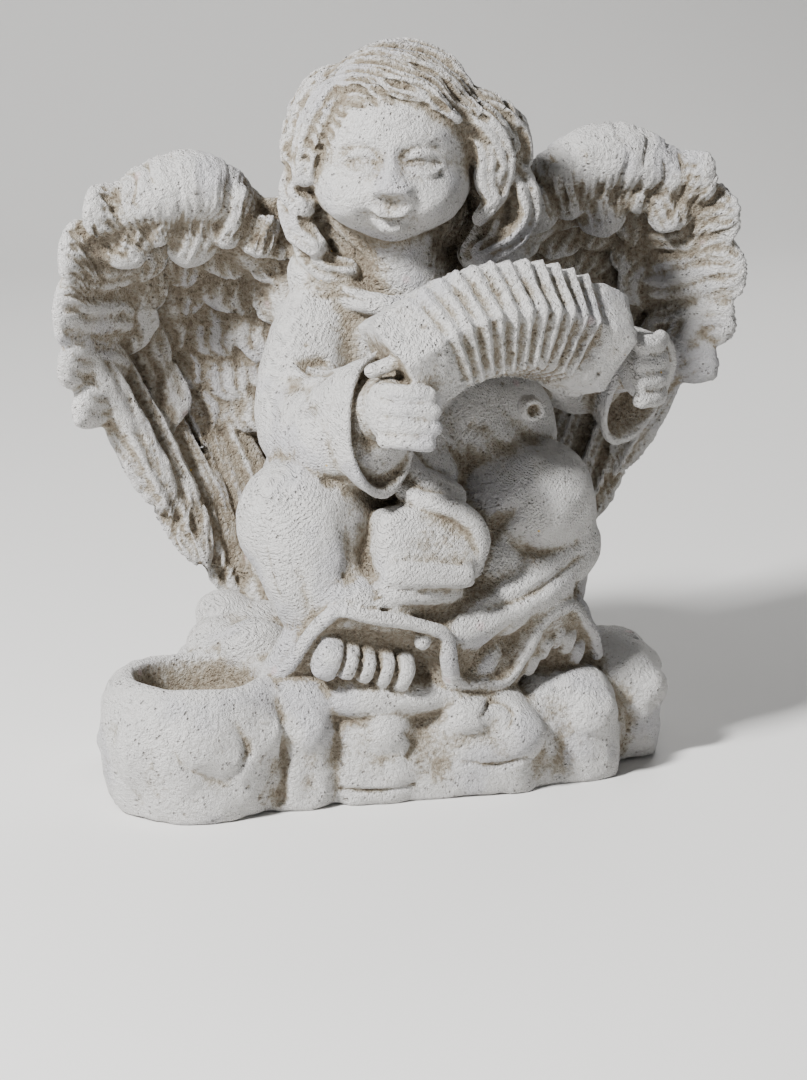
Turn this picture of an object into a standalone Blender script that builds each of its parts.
"""Seated cherub playing a concertina, cast in one piece with its cloud base and a cup for a tea light.

Metres, +Z up, the figure looking along -Y, standing on Z = 0 with the middle of its box at X = Y = 0.
"""

import math

import bmesh
import bpy
from mathutils import Matrix, Vector

# Driving sizes, in metres
FIGURE_HEIGHT = 0.242
CUP_BORE_RADIUS = 0.020
CUP_WALL = 0.0115
CUP_DEPTH = 0.015
CUP_RIM_HEIGHT = 0.043
CUP_TAPER = 0.0008
CLOUD_HEIGHT = 0.031
WING_THICKNESS = 0.009
FEATHER_THICKNESS = 0.0052
BELLOWS_SIDE = 0.0205
BELLOWS_FOLD_DEPTH = 0.0027
BELLOWS_FOLDS = 11
FINGER_RADIUS = 0.0029
TOE_RADIUS = 0.0031
CLOTH_ROLL = 0.0045

# How the casting is made into one solid
CLAY_VOXEL = 0.0014
SMOOTHING_COUNT = 2
CASTING_TRIANGLES = 8400
HAND_VOXEL = 0.0008
HAND_TRIANGLES = 900

# The pose is written in parts of the figure's height, 242 of them, one being a millimetre at full size
PARTS_HIGH = 242.0
PART = FIGURE_HEIGHT / PARTS_HIGH

# Where the head sits and which way it turns, in parts and degrees
HEAD_CENTRE = (-6.0, -9.0, 202.0)
HEAD_YAW = -12.0
HEAD_PITCH = 8.0

# The face keeps the usual proportions of a small child's head: shares of the height from the chin to the
# crown, and of half the head's width
HEAD_CHIN = -30.0
HEAD_CROWN = 34.0
HEAD_HALF_WIDTH = 26.0
BROW_SHARE = 0.53
EYE_SHARE = 0.43
NOSE_SHARE = 0.29
MOUTH_SHARE = 0.19
CHIN_SHARE = 0.06
EYES_APART_SHARE = 0.4

# Middle of the tea light cup on the ground, in parts
CUP_MIDDLE = (-78.0, -44.0)

# Where the middle of the figure's box falls in the frame it is modelled in, in parts
BOX_MIDDLE = (3.6, -8.3)

STONE_COLOUR = (0.60, 0.57, 0.51, 1.0)
STONE_ROUGHNESS = 0.9


def point(x, y, z):
    """A place on the figure, from parts of its height to metres."""
    return Vector((x, y, z)) * PART


def clear_scene():
    for thing in list(bpy.data.objects):
        bpy.data.objects.remove(thing)


def new_collection(name):
    collection = bpy.data.collections.new(name)
    bpy.context.scene.collection.children.link(collection)
    return collection


def head_matrix():
    """Head frame: X to the figure's left, -Y out of the face, Z up."""
    place = Matrix.Translation(point(*HEAD_CENTRE))
    turn = Matrix.Rotation(math.radians(HEAD_YAW), 4, "Z")
    tip = Matrix.Rotation(math.radians(-HEAD_PITCH), 4, "X")
    return place @ turn @ tip


def standing_matrix(centre, along, facing):
    """Frame at centre whose Z runs along one direction and whose Y is the nearest to facing."""
    up = along.normalized()
    side = facing.cross(up).normalized()
    front = up.cross(side)
    return Matrix.Translation(centre) @ Matrix((side, front, up)).transposed().to_4x4()


def face_level(share):
    """Height in the head's frame of a share of the way from the chin to the crown, in parts."""
    return HEAD_CHIN + share * (HEAD_CROWN - HEAD_CHIN)


class Clay:
    """Overlapping closed forms gathered in one mesh, before they are made one skin."""

    def __init__(self):
        self.mesh = bmesh.new()

    def blob(self, centre, radii, frame=None, facets=24):
        """Ellipsoid, its centre and radii in parts, in the figure's frame or another one."""
        place = Matrix.Translation(point(*centre)) @ Matrix.Diagonal((*(point(*radii)), 1.0))
        self.ball((frame or Matrix.Identity(4)) @ place, facets)

    def ball(self, matrix, facets):
        """Unit sphere put through a matrix."""
        ball = bmesh.new()
        bmesh.ops.create_uvsphere(ball, u_segments=facets, v_segments=facets // 2, radius=1.0)
        self._merge(ball, matrix)

    def pad(self, centre, half_sizes, turn=(0.0, 0.0, 0.0), squareness=0.5):
        """Rounded block in parts, turned by degrees about X, Y and Z."""
        block = bmesh.new()
        bmesh.ops.create_uvsphere(block, u_segments=28, v_segments=14, radius=1.0)
        for corner in block.verts:
            corner.co = [math.copysign(abs(side) ** squareness, side) for side in corner.co]
        x_turn, y_turn, z_turn = (math.radians(angle) for angle in turn)
        frame = Matrix.Translation(point(*centre)) @ Matrix.Rotation(z_turn, 4, "Z")
        frame = frame @ Matrix.Rotation(y_turn, 4, "Y") @ Matrix.Rotation(x_turn, 4, "X")
        self._merge(block, frame @ Matrix.Diagonal((*(point(*half_sizes)), 1.0)))

    def disc(self, centre, along, facing, half_sizes, facets=20):
        """Flattened ellipsoid standing along a direction, in metres: half width, thickness and length."""
        frame = standing_matrix(centre, along, facing)
        self.ball(frame @ Matrix.Diagonal((*half_sizes, 1.0)), facets)

    def limb(self, stations, frame=None, facets=16):
        """Round limb through (x, y, z, radius) stations in parts, with a ball at each end."""
        frame = frame or Matrix.Identity(4)
        centres = [frame @ point(*station[:3]) for station in stations]
        radii = [station[3] * PART for station in stations]
        curve = bpy.data.curves.new("limb", "CURVE")
        curve.dimensions = "3D"
        curve.bevel_depth = 1.0
        curve.bevel_resolution = facets // 4
        curve.resolution_u = 5
        curve.use_fill_caps = True
        spline = curve.splines.new("BEZIER")
        spline.bezier_points.add(len(centres) - 1)
        for knot, centre, radius in zip(spline.bezier_points, centres, radii):
            knot.co = centre
            knot.radius = radius
            knot.handle_left_type = knot.handle_right_type = "AUTO"
        self._take(bpy.data.objects.new("limb", curve))
        for centre, radius in ((centres[0], radii[0]), (centres[-1], radii[-1])):
            self.ball(Matrix.Translation(centre) @ Matrix.Diagonal((radius, radius, radius, 1.0)), facets)

    def turned(self, profile, frame, steps=28):
        """Profile of (radius, height) points in metres, spun about the Z of a frame."""
        lathe = bmesh.new()
        rim = [lathe.verts.new((radius, 0.0, height)) for radius, height in profile]
        edges = [lathe.edges.new(pair) for pair in zip(rim, rim[1:])]
        bmesh.ops.spin(
            lathe,
            geom=rim + edges,
            cent=(0, 0, 0),
            axis=(0, 0, 1),
            angle=2 * math.pi,
            steps=steps,
            use_merge=True,
        )
        bmesh.ops.remove_doubles(lathe, verts=lathe.verts, dist=1e-6)
        bmesh.ops.recalc_face_normals(lathe, faces=lathe.faces)
        self._merge(lathe, frame)

    def plate(self, grid, thickness):
        """Open sheet of rows of points with Solidify for its thickness, towards the back."""
        sheet = bmesh.new()
        rows = [[sheet.verts.new(spot) for spot in row] for row in grid]
        for inner, outer in zip(rows, rows[1:]):
            for near, far in zip(range(len(inner)), list(range(1, len(inner))) + [0]):
                sheet.faces.new((inner[near], outer[near], outer[far], inner[far]))
        bmesh.ops.remove_doubles(sheet, verts=sheet.verts, dist=1e-6)
        bmesh.ops.recalc_face_normals(sheet, faces=sheet.faces)
        mesh = bpy.data.meshes.new("plate")
        sheet.to_mesh(mesh)
        sheet.free()
        thing = bpy.data.objects.new("plate", mesh)
        wall = thing.modifiers.new("wall", "SOLIDIFY")
        wall.thickness = thickness
        wall.offset = 0.0
        self._take(thing)

    def add(self, other):
        """Takes in a closed bmesh as it stands."""
        self._merge(other, Matrix.Identity(4))

    def _merge(self, other, frame):
        other.transform(frame)
        mesh = bpy.data.meshes.new("form")
        other.to_mesh(mesh)
        other.free()
        self.mesh.from_mesh(mesh)
        bpy.data.meshes.remove(mesh)

    def _take(self, thing):
        """Adds what an object evaluates to, with its caps welded, and removes the object."""
        bpy.context.scene.collection.objects.link(thing)
        graph = bpy.context.evaluated_depsgraph_get()
        graph.update()
        mesh = bpy.data.meshes.new_from_object(thing.evaluated_get(graph))
        form = bmesh.new()
        form.from_mesh(mesh)
        bmesh.ops.remove_doubles(form, verts=form.verts, dist=1e-6)
        bpy.data.objects.remove(thing)
        self._merge(form, Matrix.Identity(4))

    def to_object(self, name, collection):
        mesh = bpy.data.meshes.new(name)
        self.mesh.to_mesh(mesh)
        self.mesh.free()
        thing = bpy.data.objects.new(name, mesh)
        collection.objects.link(thing)
        return thing


def cloud_base(clay):
    """Cloud of upright rounded lobes round an oval, with the tea light cup as its biggest lobe."""
    lobes = [
        (-45, -46, 15, 1.22), (-20, -46, 16, 0.97), (15, -40, 22, 1.02), (47, -26, 21, 1.04),
        (70, -4, 19, 1.12), (64, 24, 20, 1.0), (38, 38, 20, 0.96), (8, 42, 20, 1.0),
        (-24, 42, 20, 0.96), (-54, 34, 20, 1.0), (-78, 8, 20, 0.92),
    ]
    for x, y, radius, share in lobes:
        top = CLOUD_HEIGHT * share / PART
        dome = 0.62 * radius
        clay.limb([(x, y, -6, radius), (x, y, top - dome - 4, radius)])
        clay.blob((x, y, top - dome), (radius * 1.04, radius * 1.04, dome))
    core = [
        (0.0, -0.006), (1.0, -0.006), (1.0, CLOUD_HEIGHT * 0.5), (0.93, CLOUD_HEIGHT * 0.8),
        (0.8, CLOUD_HEIGHT * 0.96), (0.0, CLOUD_HEIGHT),
    ]
    oval = Matrix.Diagonal((87 * PART, 60 * PART, 1.0, 1.0))
    clay.turned(core, Matrix.Translation(point(-3, -1, 0)) @ oval)
    # Lumps on the lobes
    for centre, radii in (
        ((-80, -72, 24), (13, 6, 13)), ((-62, -67, 26), (9, 6, 9)), ((-98, -62, 22), (9, 8, 14)),
        ((-52, -55, 20), (10, 12, 18)), ((-18, -61, 20), (8, 5, 7)), ((20, -60, 21), (10, 6, 8)),
        ((32, -52, 18), (10, 8, 12)), ((52, -46, 20), (12, 7, 9)), ((78, -20, 22), (10, 9, 9)),
    ):
        clay.blob(centre, radii)
    outer = CUP_BORE_RADIUS + CUP_WALL
    profile = [
        (0.0, -0.006), (outer * 0.93, -0.006), (outer * 0.97, CUP_RIM_HEIGHT * 0.2),
        (outer * 1.02, CUP_RIM_HEIGHT * 0.5), (outer * 0.97, CUP_RIM_HEIGHT * 0.78),
        (outer * 0.85, CUP_RIM_HEIGHT * 0.95), (outer * 0.74, CUP_RIM_HEIGHT),
        (CUP_BORE_RADIUS * 0.9, CUP_RIM_HEIGHT - 0.001), (0.0, CUP_RIM_HEIGHT - 0.003),
    ]
    clay.turned(profile, Matrix.Translation(point(*CUP_MIDDLE, 0)))


def robe_and_legs(clay):
    """Seat, torso, thighs, shins and the cloth that spreads over the cloud."""
    clay.blob((2, 14, 60), (46, 34, 40))
    clay.blob((0, 16, 100), (36, 24, 60))
    clay.blob((0, 2, 128), (31, 25, 42))
    clay.blob((-1, 5, 151), (36, 20, 17))
    clay.blob((3, -14, 106), (27, 24, 27))
    clay.blob((22, -18, 112), (26, 20, 26))
    clay.blob((0, -8, 42), (56, 42, 16))
    clay.blob((2, 32, 62), (46, 26, 44))
    clay.blob((2, 32, 108), (36, 20, 46))
    clay.blob((-52, -6, 40), (22, 22, 14))
    clay.blob((-66, -12, 42), (11, 11, 10))
    clay.blob((-62, 0, 50), (10, 12, 8))
    clay.blob((-2, -30, 102), (14, 16, 20))
    # The leg on the viewer's left, knee up
    clay.limb([(-14, 4, 80, 24), (-32, -24, 90, 22), (-42, -40, 92, 19.5)])
    clay.blob((-41, -38, 90), (22.5, 20, 21.5))
    clay.limb([(-42, -42, 88, 19), (-39, -46, 72, 16.5), (-35, -48, 56, 12)])
    clay.limb([(-26, -30, 86, 18), (-26, -40, 68, 17), (-26, -40, 52, 15)])
    # The leg on the viewer's right, its shin crossing to the middle
    clay.limb([(16, 4, 80, 24), (27, -22, 90, 23), (37, -36, 94, 19.5)])
    clay.blob((38, -32, 88), (20, 19, 24))
    clay.limb([(47, -34, 76, 13), (35, -44, 66, 11), (16, -52, 58, 9), (1, -57, 54, 7)])
    clay.limb([(46, -8, 88, 14), (47, -14, 66, 14), (42, -20, 44, 13)])
    clay.blob((20, -34, 74), (21, 18, 18))
    clay.blob((8, -38, 60), (22, 19, 14))
    # The flap of cloth that hangs between the knees
    clay.pad((-5, -53, 83), (17, 11, 13.5), (-14, 6, 4), 0.45)
    clay.pad((-5.5, -62, 75.5), (15.5, 5.5, 4.2), (-14, 6, 4))
    roll = CLOTH_ROLL / PART
    fold = roll * 0.65
    clay.limb([(-15, -44, 112, fold), (-12, -52, 103, fold), (-7, -59, 99, fold), (2, -63, 97.5, fold),
               (10, -64, 93, fold), (13.5, -63, 85, fold), (12, -60, 75, fold)])
    clay.limb([(-12, -40, 112, roll), (-6, -47, 103, roll), (4, -50, 98, roll)])
    # Hem that arches over the foot in the middle, and the hem over the second foot
    clay.limb([(-53, -56, 44, roll), (-42, -62, 58, roll), (-34, -62, 62, roll), (-20, -62, 58, roll),
               (-8, -62, 55, roll), (-1, -62, 54, roll), (1, -61, 46, roll), (2, -58, 36, roll)])
    clay.blob((-20, -48, 58), (26, 14, 11))
    clay.pad((-22, -58, 64), (22, 9.5, 8), squareness=0.8)
    clay.limb([(18, -44, 34, roll), (28, -46, 46, roll), (40, -44, 58, roll), (51, -38, 54, roll),
               (56, -30, 42, roll)])
    clay.blob((38, -30, 46), (19, 16, 18))
    clay.limb([(2, -50, 48, 9), (14, -44, 42, 11), (24, -38, 38, 10)])
    clay.blob((-18, -44, 34), (38, 24, 12))


def feet(clay):
    """Ball of each foot with five toes side by side."""
    toe = TOE_RADIUS / PART
    clay.blob((-24, -54, 44), (19, 14, 13))
    for step in range(5):
        x, z = -39 + 6.2 * step, 49 - 1.5 * step
        clay.limb([(x + 2, -56, z + 4, toe), (x, -66, z + 1, toe), (x - 1, -71, z - 3, toe * 0.95)], facets=12)
    clay.blob((43, -38, 46), (11, 10, 12))
    for step in range(5):
        x, z = 33 + 4.4 * step, 39 + 4 * step
        clay.limb([(x + 1, -40, z + 2, toe), (x - 1, -49, z - 1, toe * 0.95)], facets=12)


def sleeves(clay):
    """Upper arms, and bell cuffs that open round the wrists."""
    clay.limb([(-26, 3, 150, 14), (-33, -4, 136, 16), (-36, -14, 121, 17), (-34, -26, 115, 17.5)])
    clay.limb([(-36, -18, 116, 17), (-30, -36, 117, 18), (-24, -46, 119, 17)])
    clay.limb([(-40, -20, 134, 5), (-33, -34, 134, 5), (-22, -42, 138, 5)])
    bell(clay, (-20, -59, 125), (0.55, -0.82, 0.10), (15.5, 23.5), 26)
    clay.limb([(-28, -44, 128, 12), (-18, -62, 131, 11)])
    clay.limb([(27, 3, 151, 15), (45, 0, 141, 16), (60, -6, 130, 16)])
    bell(clay, (75, -24, 125), (0.42, -0.80, -0.42), (14, 22.0), 26)
    clay.limb([(60, -10, 132, 12), (70, -26, 136, 10)])


def bell(clay, mouth, direction, half_sizes, length):
    """Bell cuff: an oval mouth of the given half width and half height, closed at its narrow end."""
    wide, tall = half_sizes
    along = Vector(direction).normalized()
    frame = standing_matrix(point(*mouth), along, Vector((0, 0, 1)))
    profile = [
        (0.0, -length), (0.55, -length), (0.78, -length * 0.55), (0.93, -length * 0.18), (1.0, 0.0),
        (0.88, 0.6), (0.78, -length * 0.14), (0.6, -length * 0.38), (0.0, -length * 0.42),
    ]
    oval = Matrix.Diagonal((wide * PART, tall * PART, PART, 1.0))
    clay.turned(profile, frame @ oval)


def head(clay):
    """Skull, face and the big masses of the hair."""
    frame = head_matrix()
    clay.limb([(3, 0, 154, 18), (0, -4, 168, 15), (-3, -6, 182, 15)])
    clay.blob((-20, 8, 163), (18, 16, 14))
    clay.blob((24, 8, 165), (19, 17, 14))
    clay.blob((0, 2, 5), (26, 27.5, 28), frame)
    clay.blob((0, -9, -11), (25.5, 22, 20), frame)
    brow, eye, nose = face_level(BROW_SHARE), face_level(EYE_SHARE), face_level(NOSE_SHARE)
    mouth, across = face_level(MOUTH_SHARE), EYES_APART_SHARE * HEAD_HALF_WIDTH
    for side in (-1, 1):
        clay.blob((side * 12.5, -19, nose - 3), (12, 11, 10.5), frame)
        clay.blob((side * across, -26, eye), (6.2, 3.6, 4), frame)
        clay.limb([(side * 5, -26, brow - 0.5, 2), (side * across, -26, brow + 1.5, 2.2),
                   (side * 18, -22, brow - 0.5, 2)], frame)
    clay.blob((0, -23, face_level(CHIN_SHARE)), (9, 8.5, 6.5), frame)
    clay.limb([(0, -26, brow, 2.2), (0, -29, (eye + nose) / 2 + 1, 2.6), (0, -32, nose + 1.5, 3.4)], frame)
    clay.blob((0, -30.5, mouth + 1.9), (6.5, 3.4, 1.8), frame)
    clay.blob((0, -30, mouth - 2.1), (5.5, 3.4, 2.0), frame)
    hair(clay, frame)


def hair(clay, frame):
    """Hair swept across the brow from a side parting, with waves over the ears."""
    clay.blob((1.5, 2, 6), (28.6, 31, 30.2), frame)
    sweep = [
        [(-20, -18, 20, 4.5), (-6, -26, 21, 5), (8, -27, 18, 4.6), (19, -22, 10, 4.5), (26, -14, 0, 4)],
        [(-17, -12, 27, 4.5), (0, -20, 30, 5), (14, -20, 25, 5), (26, -13, 14, 5.5), (33, -7, 7, 5)],
        [(-24, -15, 14, 4.2), (-27, -14, 7, 4), (-28, -9, 0, 3.5)],
        [(24, -14, 12, 5.5), (32, -10, 9, 6), (37, -6, 3, 6), (37, -4, -5, 5), (32, -5, -9, 3.5)],
        [(22, -6, 20, 5.5), (32, -3, 17, 6), (39, 1, 11, 6.5), (42, 3, 3, 5.5), (40, 2, -5, 4)],
        [(28, -1, 8, 6), (37, 1, 0, 6), (43, 2, -9, 6), (44, 3, -17, 5.5), (39, 2, -25, 5.5), (30, 0, -30, 5)],
        [(28, 4, -4, 6.5), (34, 5, -12, 6.5), (33, 5, -22, 6.5), (27, 4, -30, 6)],
        [(-25, 0, 12, 5), (-31, -1, 8, 5.5), (-31.5, -2, 2, 5.5), (-28, -3, -1, 4.5)],
        [(-26, 3, 3, 6), (-30, 1, -3, 6), (-32, 0, -10, 5.5), (-29, -2, -14, 4.5)],
        [(-27, 5, -9, 6.5), (-31, 3, -15, 6.5), (-30, 2, -22, 6), (-25, 0, -27, 5)],
        [(-24, 8, -18, 7), (-27, 7, -26, 6.5), (-22, 6, -33, 6), (-15, 5, -35, 5)],
    ]
    for lock in sweep:
        clay.limb(lock, frame)
    for x in (-20, -7, 7, 20):
        clay.limb([(x * 0.8, 25, 24, 6), (x * 1.1, 31, 6, 6.5), (x * 1.15, 30, -12, 6.5),
                   (x, 26, -30, 5.5)], frame)
    clay.blob((0, 12, -12), (28, 18, 24), frame)


# Outline of the wing on the viewer's left: x, z and how far forward its edge stands, in parts
WING_EDGE = [
    (-26, 158, 30), (-40, 177, 26), (-54, 196, 18), (-69, 203, 13), (-86, 199, 11), (-99, 189, 9),
    (-107, 176, 9), (-112, 158, 9), (-111, 142, 11), (-102, 121, 16), (-84, 95, 22), (-65, 69, 28),
    (-49, 46, 32), (-34, 60, 36), (-22, 100, 40), (-18, 135, 38),
]
WING_MIDDLE = (-66, 130, 47)

# Rows of feathers as (root x, root z, tip x, tip z, width, lift towards the viewer), in parts
PRIMARIES = [
    (-104, 142, -76, 84, 13, 3), (-96, 136, -66, 66, 14, 3), (-86, 128, -57, 54, 14, 2.5),
    (-74, 120, -48, 50, 14, 2.5), (-62, 112, -41, 58, 13, 3), (-50, 108, -34, 70, 12, 3.5),
]
COVERT_ROWS = [
    # Height of the tips, first x, last x, how many, length, lift towards the viewer, lean
    (106, -80, -41, 3, 28, 4.5, -7), (120, -88, -40, 4, 26, 6, -6), (134, -91, -37, 4, 25, 7.5, -5),
    (147, -90, -38, 4, 24, 9, -4), (159, -85, -39, 4, 22, 11, -3), (169, -80, -44, 3, 20, 13, -2),
]
RIM_WIDTHS = (7, 10, 12, 12.5, 11, 7.5, 5, 4.5, 5, 5.5, 5, 4.5, 4)
RIM_LOBES = [
    (-84, 182, -107, 187, 16), (-85, 165, -115, 173, 21), (-88, 146, -117, 156, 24), (-92, 130, -114, 138, 19),
    (-58, 188, -66, 168, 15), (-72, 190, -80, 167, 16), (-84, 188, -93, 166, 16), (-45, 180, -51, 162, 14),
]


def wing_depth(x, z):
    """How far back the wing's hollow face lies at x and z, from the outline and the middle."""
    middle_x, middle_z, middle_y = WING_MIDDLE
    angle = math.atan2(z - middle_z, x - middle_x)
    reach = math.hypot(x - middle_x, z - middle_z)
    edge_reach, edge_y = 1e9, middle_y
    spots = WING_EDGE + WING_EDGE[:1]
    for (x0, z0, y0), (x1, z1, y1) in zip(spots, spots[1:]):
        first = math.atan2(z0 - middle_z, x0 - middle_x)
        turn = (math.atan2(z1 - middle_z, x1 - middle_x) - first + math.pi) % (2 * math.pi) - math.pi
        ahead = (angle - first + math.pi) % (2 * math.pi) - math.pi
        if abs(turn) > 1e-6 and 0 <= ahead / turn <= 1:
            share = ahead / turn
            edge_x, edge_z = x0 + (x1 - x0) * share, z0 + (z1 - z0) * share
            edge_reach = math.hypot(edge_x - middle_x, edge_z - middle_z)
            edge_y = y0 + (y1 - y0) * share
    return middle_y + (edge_y - middle_y) * min(1.0, reach / edge_reach) ** 1.9


class Wing:
    """One wing: side is -1 on the viewer's left and 1 on the right, which stands a little back."""

    def __init__(self, side):
        self.side = side
        self.shift = Vector((0, 0, 0)) if side < 0 else Vector((7, 12, 4))

    def place(self, x, y, z):
        """A place on the wing, mirrored and shifted to its own side."""
        return point(-self.side * x + self.shift.x, y + self.shift.y, z + self.shift.z)

    def build(self, clay):
        middle_x, middle_z, middle_y = WING_MIDDLE
        grid = []
        for share in (0.04, 0.3, 0.52, 0.72, 0.88, 1.0):
            row = []
            for x, z, _ in WING_EDGE:
                at_x, at_z = middle_x + (x - middle_x) * share, middle_z + (z - middle_z) * share
                row.append(self.place(at_x, wing_depth(at_x, at_z) + 4, at_z))
            grid.append(row)
        centre = self.place(middle_x, middle_y + 4, middle_z)
        grid.insert(0, [centre] * len(WING_EDGE))
        clay.plate(grid, WING_THICKNESS)
        clay.limb([
            (*(self.place(*self.inset(x, y + 3, z, width - 1)) / PART), width)
            for (x, z, y), width in zip(WING_EDGE, RIM_WIDTHS)
        ])
        for feather in PRIMARIES:
            self.feather(clay, *feather)
        for row, (tip_z, first, last, count, length, lift, lean) in enumerate(COVERT_ROWS):
            spacing = (last - first) / (count - 1)
            for step in range(count):
                x = first + spacing * step + (4.5 if row % 2 else 0.0)
                z = tip_z - 0.1 * (x + 66)
                self.feather(clay, x + lean, z + length, x - lean * 0.3, z, 1.24 * spacing, lift)
        for root_x, root_z, tip_x, tip_z, width in RIM_LOBES:
            self.lobe(clay, root_x, root_z, tip_x, tip_z, width)
        clay.limb([(*(self.place(-20, 30, 130) / PART), 14), (*(self.place(-28, 30, 150) / PART), 13),
                   (*(self.place(-36, 30, 168) / PART), 9)])
        clay.limb([(*(self.place(-22, 26, 110) / PART), 14), (*(self.place(-40, 32, 66) / PART), 11),
                   (*(self.place(-40, 28, 40) / PART), 13)])

    def inset(self, x, y, z, distance):
        """A place on the edge moved towards the wing's middle."""
        middle_x, middle_z, _ = WING_MIDDLE
        share = distance / math.hypot(middle_x - x, middle_z - z)
        return x + (middle_x - x) * share, y, z + (middle_z - z) * share

    def feather(self, clay, root_x, root_z, tip_x, tip_z, width, lift):
        """Flat rounded feather on the hollow face, its tip raised like a shingle's."""
        root = self.place(root_x, wing_depth(root_x, root_z) - lift * 0.35, root_z)
        tip = self.place(tip_x, wing_depth(tip_x, tip_z) - lift, tip_z)
        facing = Vector((0, -1, 0))
        half = (width * PART / 2, FEATHER_THICKNESS / 2, (tip - root).length * 0.56)
        clay.disc((root + tip) / 2, tip - root, facing, half)

    def lobe(self, clay, root_x, root_z, tip_x, tip_z, width):
        """Thick rounded feather end on the outer rim."""
        root = self.place(root_x, wing_depth(root_x, root_z) - 5, root_z)
        tip = self.place(tip_x, wing_depth(tip_x, tip_z) - 5, tip_z)
        half = (width * PART / 2, 6.0 * PART, (tip - root).length * 0.54)
        clay.disc((root + tip) / 2, tip - root, Vector((-self.side * 0.3, -1, 0)), half)


# Path of the concertina's axis: middle of its bend, radius, and the tilt at each end of the bellows
CONCERTINA_MIDDLE = (21.5, -55.0, 157.0)
CONCERTINA_BEND_RADIUS = 52.0
CONCERTINA_TILTS = (29.0, -31.0)
CONCERTINA_YAW = 16.0
CONCERTINA_PITCH = 12.0
END_BOX_LENGTHS = (15.0, 11.0)


def concertina_sections():
    """(arc angle, extra length, size) of each six-sided section from the left end to the right end."""
    first, last = (math.radians(tilt) for tilt in CONCERTINA_TILTS)
    sections = [(first, -END_BOX_LENGTHS[0] * PART, 0.97), (first, 0.0, 0.97)]
    deep = 1.0 - BELLOWS_FOLD_DEPTH / BELLOWS_SIDE
    for step in range(2 * BELLOWS_FOLDS + 1):
        share = (step + 0.5) / (2 * BELLOWS_FOLDS + 2)
        sections.append((first + (last - first) * share, 0.0, deep if step % 2 == 0 else 1.02))
    return sections + [(last, 0.0, 0.97), (last, END_BOX_LENGTHS[1] * PART, 0.97)]


def concertina():
    """Loft of six-sided sections round a bend, every other one drawn in for the folds."""
    middle = point(*CONCERTINA_MIDDLE)
    lean = Matrix.Rotation(math.radians(CONCERTINA_YAW), 4, "Z")
    lean = lean @ Matrix.Rotation(math.radians(CONCERTINA_PITCH), 4, "X")
    radius = CONCERTINA_BEND_RADIUS * PART
    middle_tilt = math.radians(sum(CONCERTINA_TILTS) / 2)
    hub = Vector((math.sin(middle_tilt), 0, -math.cos(middle_tilt))) * radius
    form = bmesh.new()
    rings = []
    for tilt, extra, size in concertina_sections():
        out = Vector((-math.sin(tilt), 0, math.cos(tilt)))
        along = Vector((math.cos(tilt), 0, math.sin(tilt)))
        centre = hub + out * radius + along * extra
        ring = []
        for corner in range(6):
            angle = math.radians(30 + 60 * corner)
            spread = out * math.sin(angle) + Vector((0, 1, 0)) * math.cos(angle)
            ring.append(form.verts.new(centre + spread * BELLOWS_SIDE * size))
        rings.append(ring)
    for left, right in zip(rings, rings[1:]):
        for corner in range(6):
            after = (corner + 1) % 6
            form.faces.new((left[corner], left[after], right[after], right[corner]))
    form.faces.new(rings[0])
    form.faces.new(rings[-1])
    bmesh.ops.recalc_face_normals(form, faces=form.faces)
    form.transform(Matrix.Translation(middle) @ lean)
    return form


def hands(clay):
    """Fists on the two ends of the concertina: four fingers and a back of the hand each."""
    finger = FINGER_RADIUS / PART
    clay.blob((-19, -69, 132), (8, 9, 11))
    for step in range(4):
        z = 139.5 - 5.2 * step
        reach = (-1, 0.5, 0.5, -1.5)[step]
        clay.limb([(-22, -75, z, finger), (-16, -80, z, finger), (-8 + reach, -81.5, z - 0.6, finger)],
                  facets=12)
    thumb = finger * 0.88
    clay.limb([(-25, -70, 145, thumb), (-17, -73, 148, thumb), (-11, -76, 146, thumb)], facets=12)
    clay.blob((73, -38, 136), (8, 10, 11))
    for step in range(4):
        z = 146 - 6.0 * step
        clay.limb([(77, -42, z, finger), (74, -49, z, finger * 1.05), (68, -52, z, finger * 1.1)],
                  facets=12)


def stone_material():
    material = bpy.data.materials.new("cast_stone")
    material.use_nodes = True
    shader = material.node_tree.nodes["Principled BSDF"]
    shader.inputs["Base Color"].default_value = STONE_COLOUR
    shader.inputs["Roughness"].default_value = STONE_ROUGHNESS
    shader.inputs["Metallic"].default_value = 0.0
    return material


def triangle_count(thing):
    graph = bpy.context.evaluated_depsgraph_get()
    mesh = thing.evaluated_get(graph).to_mesh()
    mesh.calc_loop_triangles()
    return len(mesh.loop_triangles)


def one_skin(thing, voxel, triangles):
    """Makes overlapping forms one closed skin, softens it and thins it to the triangles allowed."""
    skin = thing.modifiers.new("one skin", "REMESH")
    skin.mode = "VOXEL"
    skin.voxel_size = voxel
    soften = thing.modifiers.new("soften", "SMOOTH")
    soften.iterations = SMOOTHING_COUNT
    soften.factor = 0.5
    bpy.context.view_layer.update()
    thin = thing.modifiers.new("thin", "DECIMATE")
    thin.ratio = min(1.0, triangles / triangle_count(thing))


def combine(thing, other, operation):
    """Boolean of an object with another, which becomes a guide."""
    step = thing.modifiers.new(other.name, "BOOLEAN")
    step.operation = operation
    step.object = other
    other.hide_render = True
    other.display_type = "WIRE"


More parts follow.
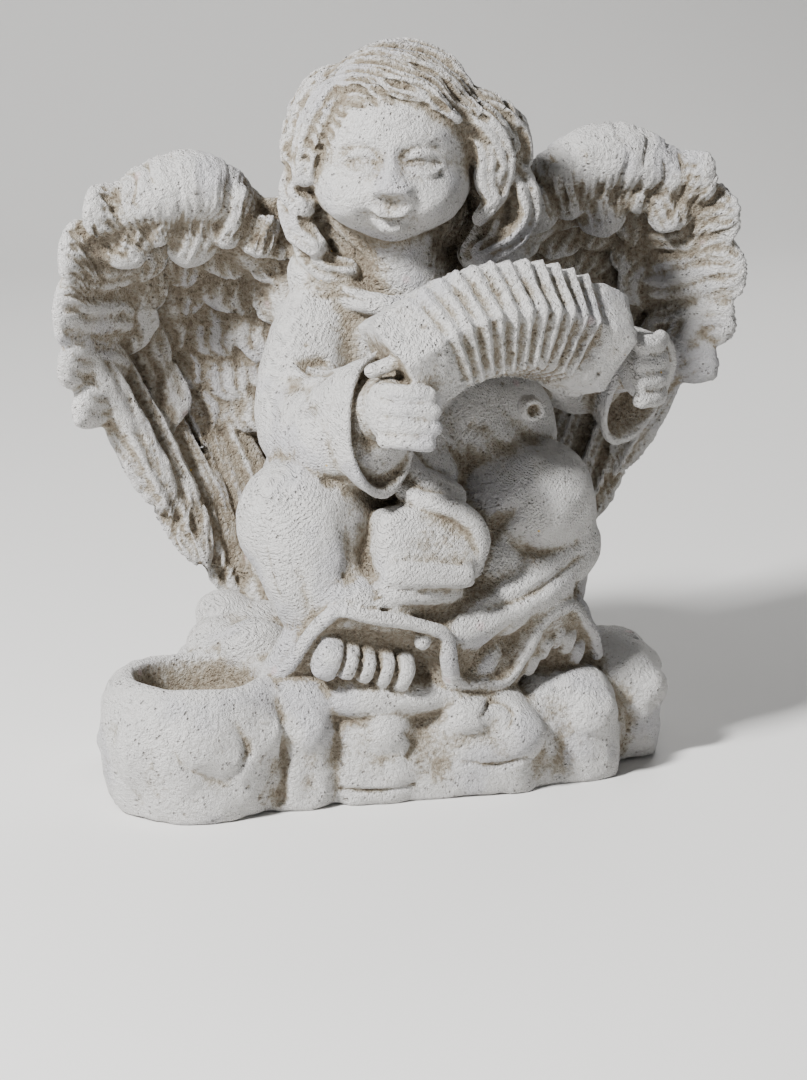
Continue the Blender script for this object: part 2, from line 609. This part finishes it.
def ground_cutter(collection):
    """Block under the ground plane, which cuts the underside flat."""
    clay = Clay()
    bmesh.ops.create_cube(clay.mesh, size=2.0)
    bmesh.ops.transform(clay.mesh, matrix=Matrix.Translation((0, 0, -1.0)), verts=clay.mesh.verts)
    bmesh.ops.scale(clay.mesh, vec=(1, 1, 0.2), verts=clay.mesh.verts)
    return clay.to_object("ground_cut", collection)


def cup_cutter(collection):
    """Tapered plug that leaves the cup's bore, its floor flat."""
    clay = Clay()
    rise = 0.02
    floor = CUP_RIM_HEIGHT - CUP_DEPTH
    profile = [
        (0.0, floor), (CUP_BORE_RADIUS - CUP_TAPER, floor), (CUP_BORE_RADIUS, CUP_RIM_HEIGHT - 0.002),
        (CUP_BORE_RADIUS + 0.002, CUP_RIM_HEIGHT), (CUP_BORE_RADIUS + 0.008, CUP_RIM_HEIGHT + rise),
        (0.0, CUP_RIM_HEIGHT + rise),
    ]
    clay.turned(profile, Matrix.Translation(point(*CUP_MIDDLE, 0)))
    return clay.to_object("cup_bore", collection)


def stand_on_origin(things):
    """Moves everything so that the middle of the casting's box is over the origin."""
    x, y = BOX_MIDDLE
    for thing in things:
        thing.data.transform(Matrix.Translation(-point(x, y, 0)))


def main():
    clear_scene()
    parts = new_collection("angel_figurine")
    guides = new_collection("guides")

    clay = Clay()
    cloud_base(clay)
    robe_and_legs(clay)
    feet(clay)
    sleeves(clay)
    head(clay)
    for side in (-1, 1):
        Wing(side).build(clay)
    casting = clay.to_object("angel_figurine", parts)
    casting.data.materials.append(stone_material())
    one_skin(casting, CLAY_VOXEL, CASTING_TRIANGLES)

    squeezebox = Clay()
    squeezebox.add(concertina())
    concertina_form = squeezebox.to_object("concertina_form", guides)
    fists = Clay()
    hands(fists)
    hand_forms = fists.to_object("hand_forms", guides)
    one_skin(hand_forms, HAND_VOXEL, HAND_TRIANGLES)
    ground = ground_cutter(guides)
    bore = cup_cutter(guides)
    stand_on_origin((casting, concertina_form, hand_forms, ground, bore))
    combine(casting, concertina_form, "UNION")
    combine(casting, hand_forms, "UNION")
    combine(casting, ground, "DIFFERENCE")
    combine(casting, bore, "DIFFERENCE")


main()
